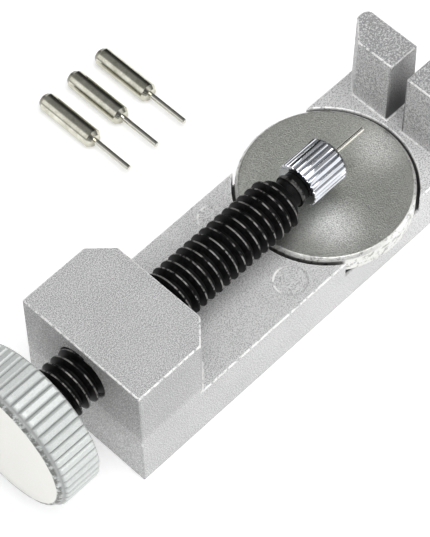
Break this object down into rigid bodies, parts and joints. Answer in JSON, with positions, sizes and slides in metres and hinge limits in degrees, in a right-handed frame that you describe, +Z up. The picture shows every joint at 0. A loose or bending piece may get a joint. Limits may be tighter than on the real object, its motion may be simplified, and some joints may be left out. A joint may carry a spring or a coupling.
{
  "type": "watch bracelet pin press",
  "caption": "Small bench press for watch bracelet links: a thumb screw drives a needle over a round lifting table towards slotted posts.",
  "frame": {"origin": "middle of the casting's flat underside", "axes": "+X along the pressing screw from the thumb wheel to the posts, +Z up"},
  "size_m": [0.0782, 0.0542, 0.0263],
  "materials": {
    "cast_alloy": "fine sand-cast",
    "black_oxide": "black oxide",
    "wheel_alloy": "satin, turned",
    "cap_chrome": "polished",
    "nickel": "polished nickel",
    "needle_steel": "hardened steel",
    "table_steel": "bead-blasted",
    "plain_steel": "plain"
  },
  "bodies": {
    "base": {"base_casting": "cast_alloy"},
    "driver_pin": {"driver_pin_shank": "nickel", "driver_pin_needle": "needle_steel"},
    "screw": {"press_screw": "black_oxide", "thumb_wheel": "wheel_alloy"},
    "cap": {"pin_cap": "cap_chrome"},
    "stud": {"turntable_stud": "plain_steel"},
    "table": {"turntable": "table_steel"},
    "spare_pin_1": {"spare_pin_1_shank": "nickel", "spare_pin_1_needle": "needle_steel"},
    "spare_pin_2": {"spare_pin_2_shank": "nickel", "spare_pin_2_needle": "needle_steel"},
    "spare_pin_3": {"spare_pin_3_shank": "nickel", "spare_pin_3_needle": "needle_steel"}
  },
  "joints": [
    {"name": "screw_travel", "type": "slide", "parent": "base", "child": "driver_pin", "axis": [1, 0, 0], "range_m": [-0.02, 0.007]},
    {"name": "screw_turn", "type": "hinge", "parent": "driver_pin", "child": "screw", "pos_m": [0, 0, 0.01535], "axis": [1, 0, 0], "range_deg": [-5100, 1780]},
    {"name": "cap_off", "type": "slide", "parent": "screw", "child": "cap", "axis": [1, 0, 0], "range_m": [0, 0.0055]},
    {"name": "table_lift", "type": "slide", "parent": "base", "child": "stud", "axis": [0, 0, 1], "range_m": [0, 0.0012]},
    {"name": "table_turn", "type": "hinge", "parent": "stud", "child": "table", "pos_m": [0.0131, 0, 0.007], "axis": [0, 0, 1], "range_deg": [0, 430]},
    {"name": "spare_1_lift", "type": "slide", "parent": "base", "child": "spare_pin_1", "axis": [0, 0, 1], "range_m": [0, 0.03]},
    {"name": "spare_2_lift", "type": "slide", "parent": "base", "child": "spare_pin_2", "axis": [0, 0, 1], "range_m": [0, 0.03]},
    {"name": "spare_3_lift", "type": "slide", "parent": "base", "child": "spare_pin_3", "axis": [0, 0, 1], "range_m": [0, 0.03]}
  ],
  "couplings": [
    {"joint": "screw_travel", "follows": "screw_turn", "m_per_rad": 0.00022457},
    {"joint": "table_lift", "follows": "table_turn", "m_per_rad": 0.00015915}
  ]
}
